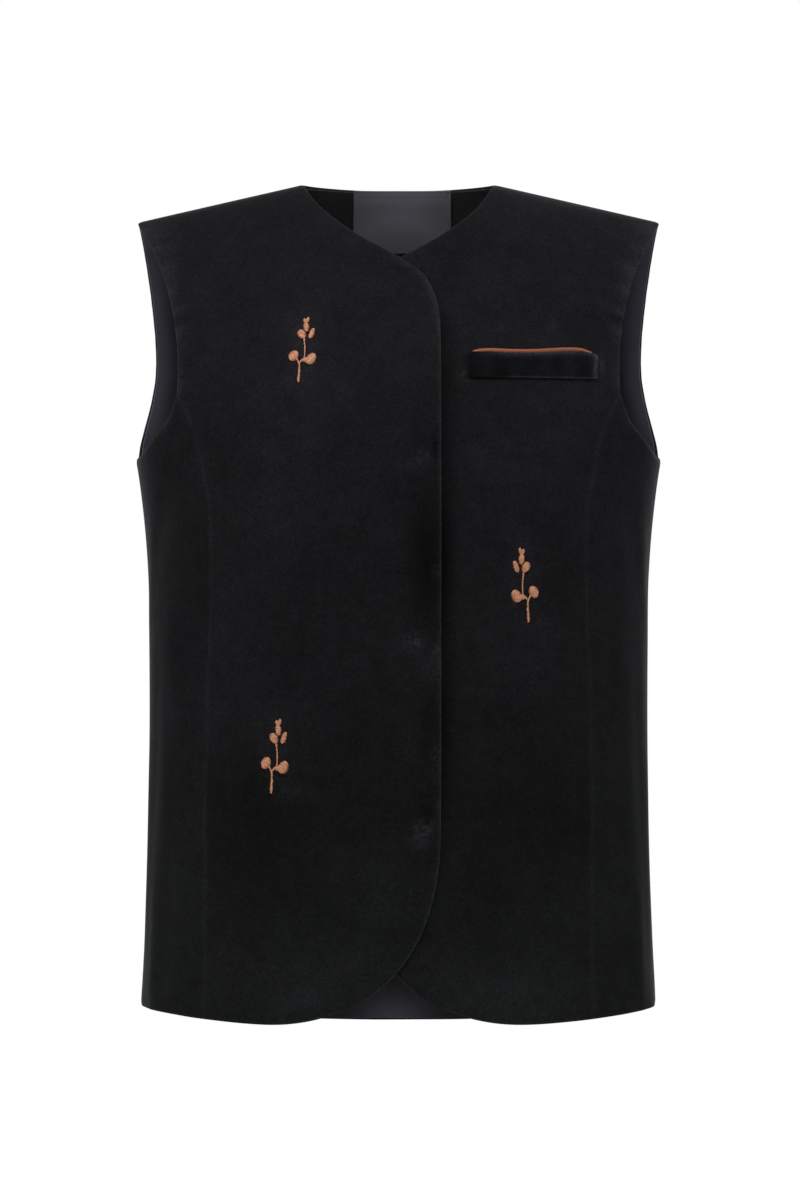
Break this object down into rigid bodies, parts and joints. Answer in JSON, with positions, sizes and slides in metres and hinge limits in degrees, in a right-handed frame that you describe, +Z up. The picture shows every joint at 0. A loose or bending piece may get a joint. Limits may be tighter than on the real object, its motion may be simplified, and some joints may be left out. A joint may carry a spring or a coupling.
{
  "type": "embroidered vest",
  "caption": "Sleeveless velvet vest, filled out and hollow, with a collarless rounded V neck, lapped front, rounded front corners, welt pocket and embroidered leaf sprigs.",
  "frame": {"origin": "midway between the two shoulder seams, level with their middles, where the wearer's shoulders hold the vest", "axes": "+X towards the wearer's left, +Y towards the wearer's back, +Z up; the fronts face -Y"},
  "size_m": [0.4224, 0.2267, 0.6871],
  "materials": {
    "velvet": "black cotton velvet, matt face on, with a grey sheen at grazing angles",
    "lining": "dark grey satin lining, soft sheen",
    "facing": "black plain-weave facing, matt",
    "label": "bare charcoal satin label, folded edges",
    "contrast": "rust-coral satin piping, soft sheen",
    "thread": "coral embroidery thread in satin stitch, silky"
  },
  "bodies": {
    "root": {"centre_front_right": "velvet", "centre_front_left": "velvet", "side_front_right": "velvet", "side_front_left": "velvet", "back": "velvet", "back_lining": "lining", "neck_facing": "facing", "neck_label": "label", "pocket_welt": "velvet", "pocket_lip": "contrast", "sprig_right_chest": "thread", "sprig_left_waist": "thread", "sprig_right_hip": "thread"}
  },
  "joints": []
}
